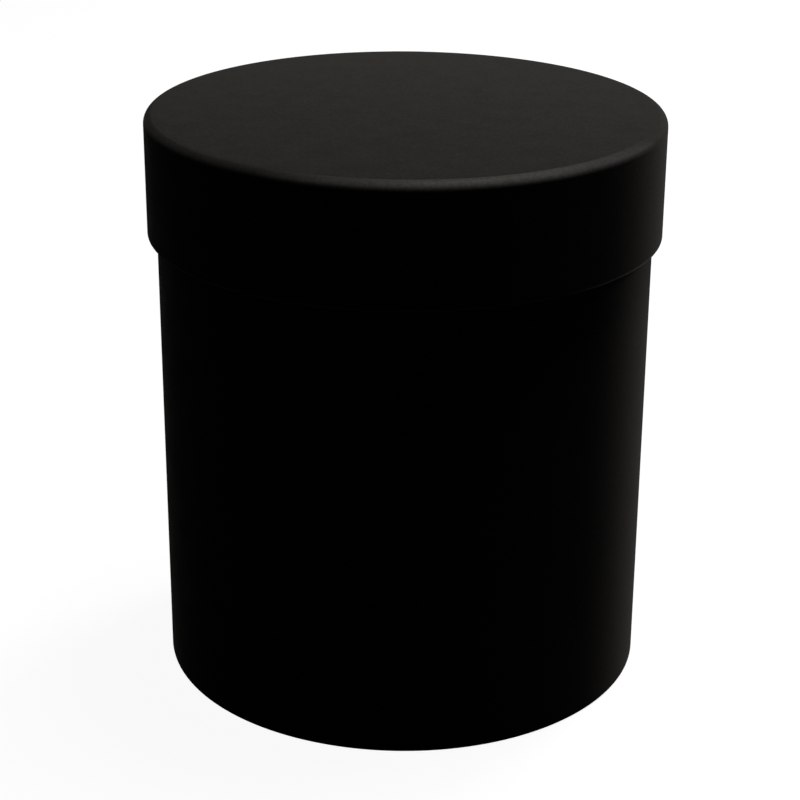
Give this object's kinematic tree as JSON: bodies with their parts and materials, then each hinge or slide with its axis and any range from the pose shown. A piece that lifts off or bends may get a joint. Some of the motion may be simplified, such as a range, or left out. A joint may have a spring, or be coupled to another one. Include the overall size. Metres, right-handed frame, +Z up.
{
  "type": "cylindrical gift box",
  "caption": "Round rigid gift box: a board tube closed by a wide lift-off lid with a rounded top edge, both covered and lined in matt black paper.",
  "frame": {"origin": "middle of the foot, on the surface that the box stands on", "axes": "+Z up along the box's axis; +Y to the back, where the lap seams of the base and the lid lie; the picture looks along +Y with +X to the right"},
  "size_m": [0.1598, 0.16, 0.1807],
  "materials": {
    "cover_paper": "matt black cover paper with a fine fibre grain and a soft touch",
    "lining_paper": "smooth matt black lining paper",
    "grey_board": "raw grey board, speckled, hidden under the papers"
  },
  "bodies": {
    "base": {"base_tube": "grey_board", "base_disc": "grey_board", "base_wrap": "cover_paper", "base_lining": "lining_paper", "base_floor_paper": "lining_paper", "base_under_paper": "cover_paper"},
    "lid": {"lid_ring": "grey_board", "lid_disc": "grey_board", "lid_top_paper": "cover_paper", "lid_side_strip": "cover_paper", "lid_lining": "lining_paper", "lid_ceiling_paper": "lining_paper"}
  },
  "joints": [
    {"name": "lid_lift", "type": "slide", "parent": "base", "child": "lid", "axis": [0, 0, 1], "range_m": [0, 0.1]}
  ]
}
